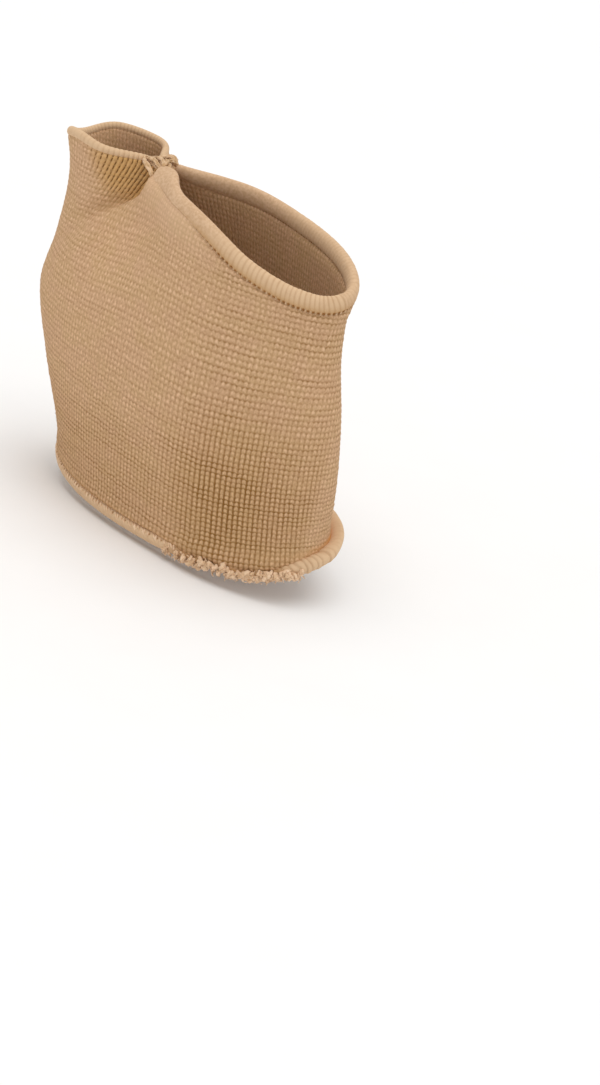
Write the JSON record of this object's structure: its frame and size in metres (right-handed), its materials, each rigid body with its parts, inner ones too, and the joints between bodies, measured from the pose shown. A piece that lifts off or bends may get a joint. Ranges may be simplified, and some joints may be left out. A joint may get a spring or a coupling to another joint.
{
  "type": "metatarsal gel pad",
  "caption": "Elastic knitted forefoot sleeve with a big-toe loop, rolled hems and a soft gel pad under the ball of the foot.",
  "frame": {"origin": "middle of the hollow at the ball of the foot, where the forefoot sits", "axes": "+Z along the foot to the toes, -Y to the sole, +X to the little-toe side"},
  "size_m": [0.0983, 0.0476, 0.0849],
  "materials": {
    "knit": "matte elastic knit, tan",
    "hem_thread": "matte overlock thread over a rolled edge, tan",
    "tack_thread": "matte sewing thread, pale tan",
    "gel": "soft satin gel, cream"
  },
  "bodies": {
    "root": {"sleeve": "knit", "toe_hem": "hem_thread", "big_toe_hem": "hem_thread", "heel_hem": "hem_thread", "web_tack": "tack_thread", "gel_pad": "gel"}
  },
  "joints": []
}
